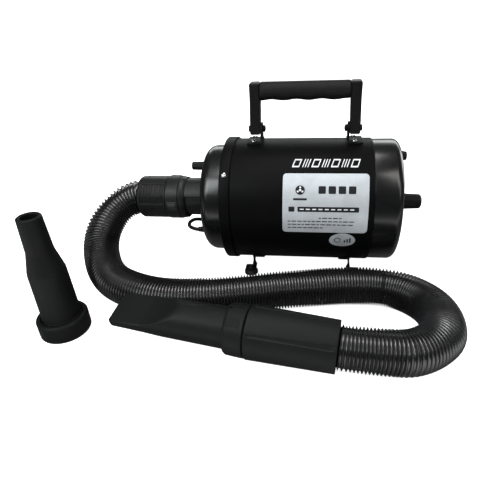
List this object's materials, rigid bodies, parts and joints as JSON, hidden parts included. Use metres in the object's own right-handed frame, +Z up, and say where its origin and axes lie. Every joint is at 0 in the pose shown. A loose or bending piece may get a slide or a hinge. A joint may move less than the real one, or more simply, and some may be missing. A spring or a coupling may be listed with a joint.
{
  "type": "pet dryer",
  "caption": "Barrel-shaped forced-air dryer with a swing handle, strap feet, a coiled ribbed hose with a flat hand nozzle, and a cone nozzle beside it.",
  "frame": {"origin": "on the floor, at the middle of the whole set's footprint", "axes": "+X along the barrel's axis towards the filter end, +Y away from the hose, +Z up"},
  "size_m": [0.5404, 0.408, 0.2781],
  "materials": {
    "powder_coat": "satin black powder coat",
    "gloss_black": "gloss black enamel",
    "black_plastic": "fine-grained black moulding",
    "charcoal_plastic": "matte charcoal moulding",
    "hose_plastic": "shiny black blow-moulded hose",
    "rubber": "black rubber",
    "steel": "bright zinc-plated steel",
    "aluminium": "pressed aluminium",
    "foam": "open-cell grey foam",
    "mica": "mica board",
    "circuit_board": "green circuit board",
    "brass": "brass"
  },
  "bodies": {
    "root": {"barrel_shell": "powder_coat", "front_ring": "powder_coat", "handle_bracket_left": "powder_coat", "handle_bracket_right": "powder_coat", "foot_bracket_left": "powder_coat", "foot_bracket_right": "powder_coat", "front_dome": "gloss_black", "rear_cap": "gloss_black", "filter_cover": "black_plastic", "motor_switch": "black_plastic", "heat_switch": "black_plastic", "outlet_spigot": "charcoal_plastic", "hose_cuff": "charcoal_plastic", "hose_rear": "hose_plastic", "front_gasket": "rubber", "rubber_foot_left_front": "rubber", "rubber_foot_left_back": "rubber", "rubber_foot_right_front": "rubber", "rubber_foot_right_back": "rubber", "motor_mount": "rubber", "power_cord": "rubber", "plug_body": "rubber", "ring_screw_1": "steel", "ring_screw_2": "steel", "ring_screw_3": "steel", "filter_stud": "steel", "bracket_screw_left_front": "steel", "bracket_screw_left_back": "steel", "bracket_screw_right_front": "steel", "bracket_screw_right_back": "steel", "pivot_bolt_left": "steel", "pivot_bolt_right": "steel", "bearing_front": "steel", "bearing_rear": "steel", "heater_coil": "steel", "speed_pot": "aluminium", "motor_can": "aluminium", "fan_shroud": "aluminium", "acoustic_liner": "foam", "filter_foam": "foam", "heater_frame": "mica", "control_board": "circuit_board", "plug_pins": "brass"},
    "handle": {"handle_upright_left": "black_plastic", "handle_upright_right": "black_plastic", "handle_grip": "rubber"},
    "fan_rotor": {"motor_shaft": "steel", "impeller": "aluminium"},
    "speed_dial": {"speed_knob": "black_plastic"},
    "filter_nut": {"filter_knob": "black_plastic"},
    "motor_push": {"motor_button": "rubber"},
    "heat_push": {"heat_button": "rubber"},
    "lock_collar": {"hose_collar": "charcoal_plastic"},
    "hose_loop": {"hose_middle": "hose_plastic"},
    "wand": {"hose_front": "hose_plastic", "handpiece_sleeve": "charcoal_plastic"},
    "lock_ring": {"nozzle_ring": "charcoal_plastic"},
    "nozzle": {"flat_nozzle": "charcoal_plastic"},
    "spare": {"spare_nozzle": "charcoal_plastic"},
    "spare_collar": {"spare_ring": "charcoal_plastic"}
  },
  "joints": [
    {"name": "handle_swing", "type": "hinge", "parent": "root", "child": "handle", "pos_m": [0.07265, 0.06404, 0.215], "axis": [1, 0, 0], "range_deg": [-85, 85], "stiffness_Nm_per_rad": 1},
    {"name": "motor_spin", "type": "hinge", "parent": "root", "child": "fan_rotor", "pos_m": [0.08065, 0.06404, 0.109], "axis": [1, 0, 0], "continuous": true},
    {"name": "speed_knob_turn", "type": "hinge", "parent": "root", "child": "speed_dial", "pos_m": [-0.08435, 0.07104, 0.1575], "axis": [-1, 0, 0], "range_deg": [0, 270]},
    {"name": "filter_knob_turn", "type": "hinge", "parent": "root", "child": "filter_nut", "pos_m": [0.23065, 0.06404, 0.106], "axis": [1, 0, 0], "continuous": true},
    {"name": "motor_button_press", "type": "slide", "parent": "root", "child": "motor_push", "axis": [-1, 0, 0], "range_m": [0, 0.003], "stiffness_N_per_m": 300},
    {"name": "heat_button_press", "type": "slide", "parent": "root", "child": "heat_push", "axis": [-1, 0, 0], "range_m": [0, 0.003], "stiffness_N_per_m": 300},
    {"name": "hose_collar_turn", "type": "hinge", "parent": "root", "child": "lock_collar", "pos_m": [-0.11935, 0.06404, 0.109], "axis": [1, 0, 0], "range_deg": [0, 40]},
    {"name": "hose_bend", "type": "hinge", "parent": "root", "child": "hose_loop", "pos_m": [0.27015, -0.12096, 0.03], "axis": [0, 0, 1], "range_deg": [0, 35]},
    {"name": "wand_lift", "type": "hinge", "parent": "hose_loop", "child": "wand", "pos_m": [0.17765, -0.17696, 0.057], "axis": [0, 1, 0], "range_deg": [0, 30]},
    {"name": "nozzle_ring_turn", "type": "hinge", "parent": "wand", "child": "lock_ring", "pos_m": [-0.01421, -0.15585, 0.03715], "axis": [0.9904, -0.134, -0.0344], "range_deg": [0, 40]},
    {"name": "nozzle_turn", "type": "hinge", "parent": "lock_ring", "child": "nozzle", "pos_m": [-0.01421, -0.15585, 0.03715], "axis": [0.9904, -0.134, -0.0344], "continuous": true},
    {"name": "spare_ring_turn", "type": "hinge", "parent": "spare", "child": "spare_collar", "pos_m": [-0.23785, -0.13146, 0.01], "axis": [0, 0, 1], "continuous": true},
    {"name": "spare_nozzle_lift", "type": "slide", "parent": "root", "child": "spare", "axis": [0, 0, 1], "range_m": [0, 0.1]}
  ]
}
